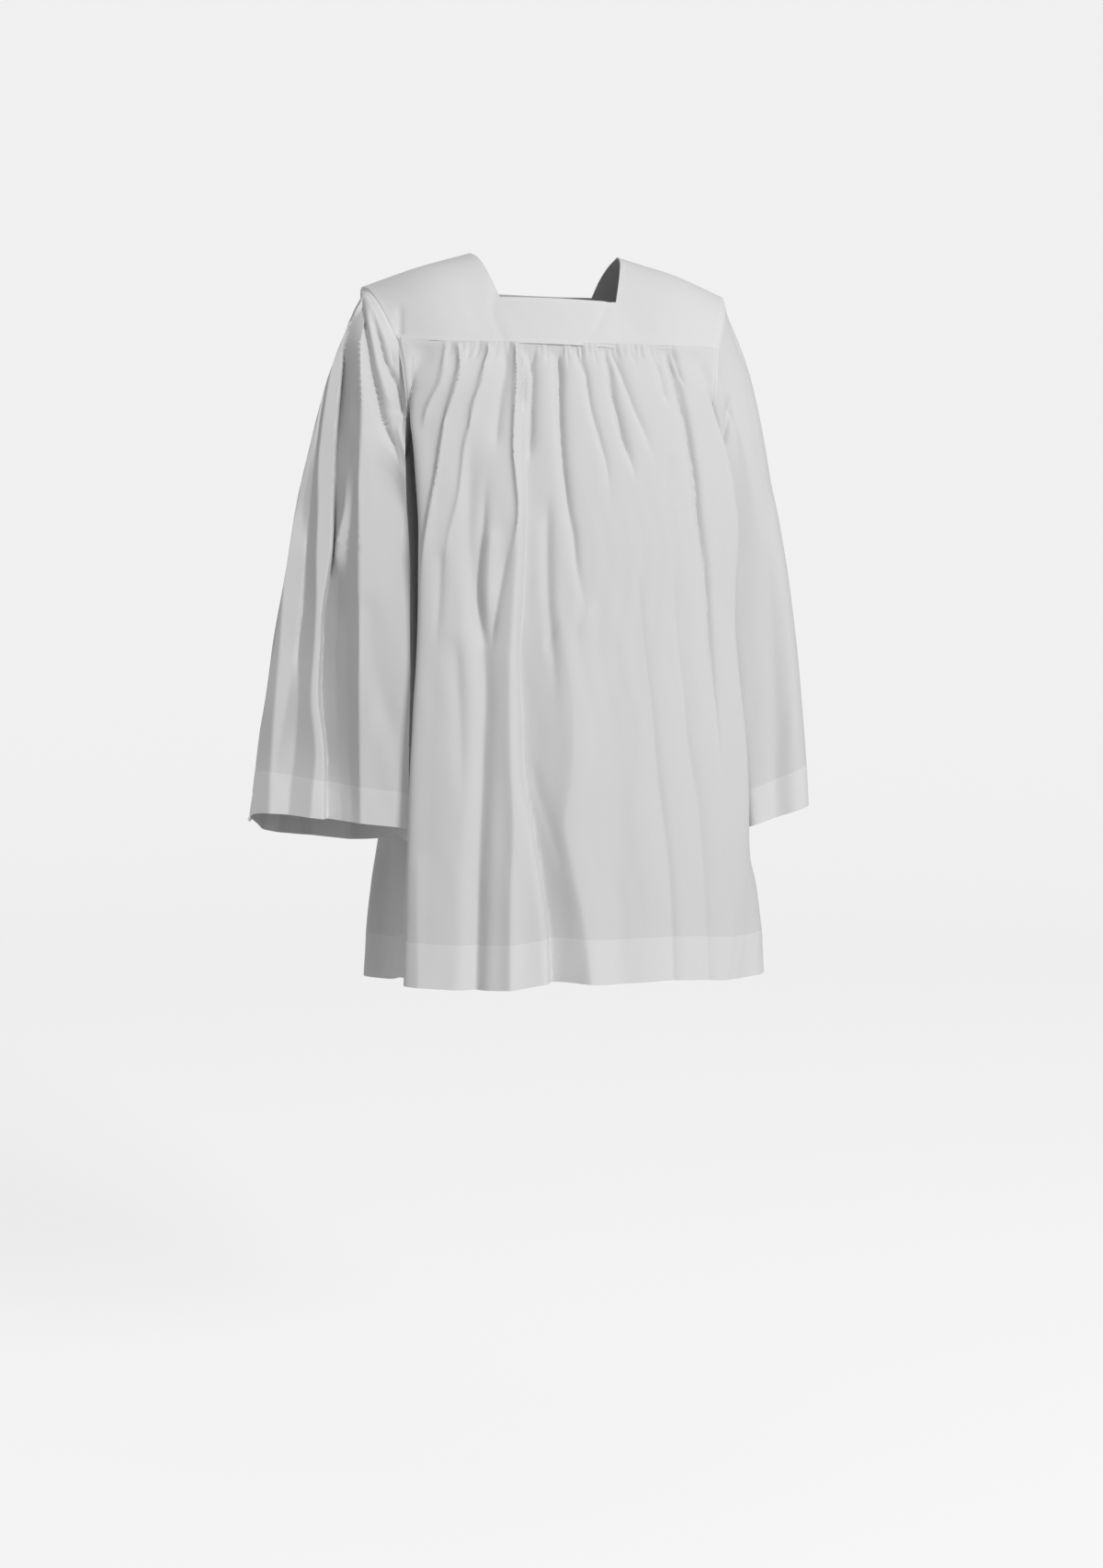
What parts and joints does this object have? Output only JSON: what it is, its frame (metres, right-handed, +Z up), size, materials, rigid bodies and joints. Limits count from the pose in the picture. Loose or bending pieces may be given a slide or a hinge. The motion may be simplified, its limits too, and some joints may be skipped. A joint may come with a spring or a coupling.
{
  "type": "surplice",
  "caption": "Loose white cotton vestment in its worn shape, with a flat square-necked yoke, gathered body and wide open sleeves.",
  "frame": {"origin": "middle of the neck opening, at the height where the shoulder seams meet it; the wearer's shoulders hold the garment here", "axes": "+Z up, the front of the garment faces -Y, and the wearer's left is at +X"},
  "size_m": [0.686, 0.3588, 0.8841],
  "materials": {
    "yoke_front_cotton": "plain-woven white cotton, matt, two layers",
    "yoke_back_cotton": "plain-woven white cotton, matt, two layers",
    "panel_front_cotton": "plain-woven white cotton, matt, thin enough to let some light through",
    "panel_back_cotton": "plain-woven white cotton, matt, thin enough to let some light through",
    "sleeve_right_cotton": "plain-woven white cotton, matt, thin enough to let some light through",
    "sleeve_left_cotton": "plain-woven white cotton, matt, thin enough to let some light through"
  },
  "bodies": {
    "root": {"yoke_front": "yoke_front_cotton", "yoke_back": "yoke_back_cotton", "panel_front": "panel_front_cotton", "panel_back": "panel_back_cotton", "sleeve_right": "sleeve_right_cotton", "sleeve_left": "sleeve_left_cotton"}
  },
  "joints": []
}
